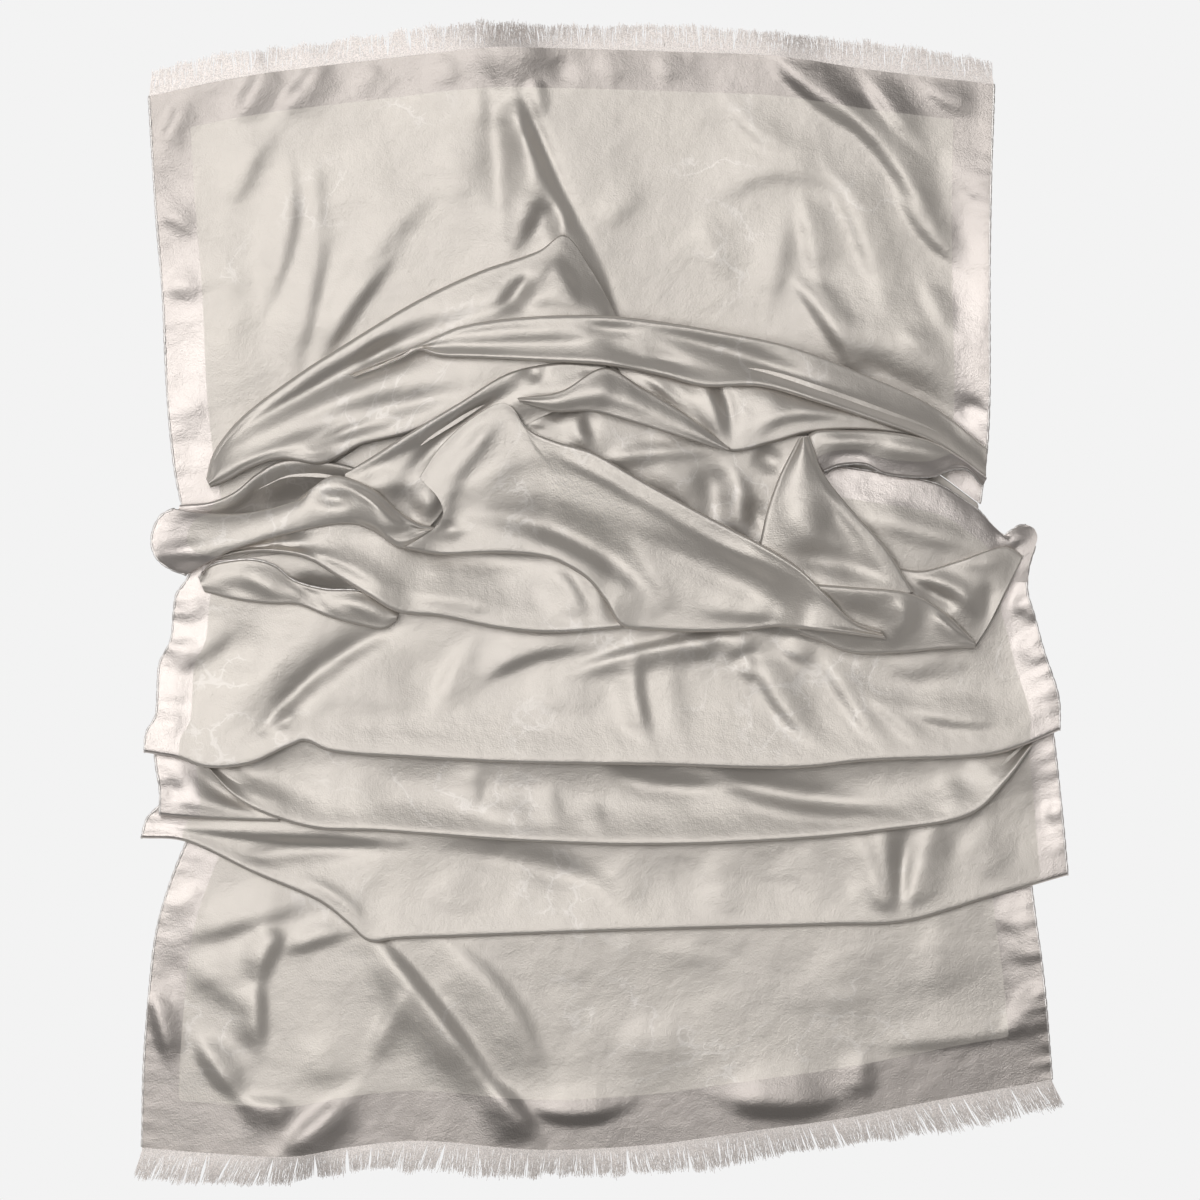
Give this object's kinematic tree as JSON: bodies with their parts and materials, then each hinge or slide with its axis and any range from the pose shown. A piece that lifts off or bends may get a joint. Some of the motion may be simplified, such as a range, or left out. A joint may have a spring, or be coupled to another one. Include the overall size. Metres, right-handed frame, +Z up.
{
  "type": "evening stole",
  "caption": "Silver-beige silk satin evening stole with fringed ends, laid down with its middle gathered into a heap of soft folds and pleats.",
  "frame": {"origin": "on the surface the stole lies on, under the middle of its outline", "axes": "+X across the stole's width to the right as pictured, +Y along its length towards the far fringe, +Z up"},
  "size_m": [0.7036, 0.8732, 0.0557],
  "materials": {
    "satin": "silver-beige silk satin with a soft sheen and a glossier woven border",
    "thread": "loose silk threads of the fringes"
  },
  "bodies": {
    "root": {"far_panel": "satin", "near_panel": "satin", "hidden_layers": "satin", "pleat_3": "satin", "left_tuck": "satin", "pleat_2": "satin", "pleat_1": "satin", "right_wing": "satin", "left_ledge": "satin", "far_roll": "satin", "inner_fold": "satin", "mid_panel": "satin", "knot": "satin", "tongue": "satin", "middle_roll": "satin", "right_flap": "satin", "right_tail": "satin", "cone": "satin", "left_flap": "satin", "lower_lobe": "satin", "left_roll": "satin", "lower_right_roll": "satin", "billow": "satin", "fringe_far": "thread", "fringe_near": "thread"}
  },
  "joints": []
}
